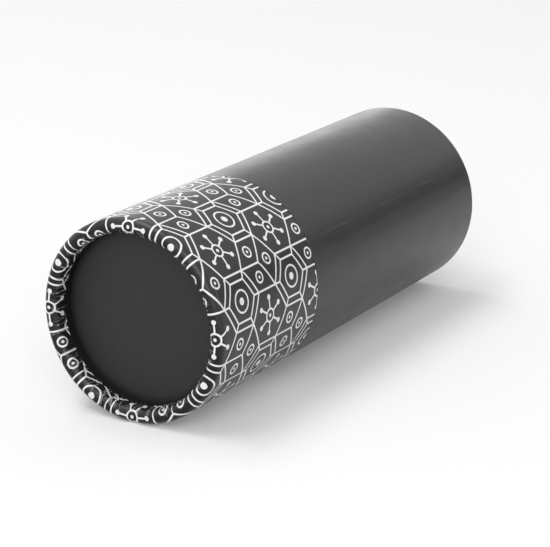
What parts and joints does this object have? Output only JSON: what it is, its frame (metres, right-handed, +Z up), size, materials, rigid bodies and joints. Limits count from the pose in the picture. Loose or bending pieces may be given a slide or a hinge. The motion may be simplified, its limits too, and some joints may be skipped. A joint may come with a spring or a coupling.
{
  "type": "cylindrical gift tube box",
  "caption": "Round board tube box with a pull-off lid over a neck, rolled rims and recessed end discs, lying on its side.",
  "frame": {"origin": "on the floor under the middle of the closed box, which lies on its side", "axes": "+X along the tube's axis from the lid's rim towards the base's rim, +Z up"},
  "size_m": [0.2, 0.075, 0.075],
  "materials": {
    "cover_paper": "satin",
    "printed_paper": "satin",
    "lining_paper": "satin",
    "greyboard": "matte"
  },
  "bodies": {
    "body": {"body_tube": "greyboard", "body_wrap": "cover_paper", "base_disc": "greyboard", "base_facing": "cover_paper", "base_lining": "lining_paper", "neck_tube": "greyboard", "neck_wrap": "cover_paper", "neck_lining": "lining_paper"},
    "lid": {"lid_tube": "greyboard", "lid_wrap": "printed_paper", "lid_disc": "greyboard", "lid_facing": "cover_paper", "lid_disc_lining": "lining_paper", "lid_lining": "lining_paper"}
  },
  "joints": [
    {"name": "lid_pull", "type": "slide", "parent": "body", "child": "lid", "axis": [-1, 0, 0], "range_m": [0, 0.12]}
  ]
}
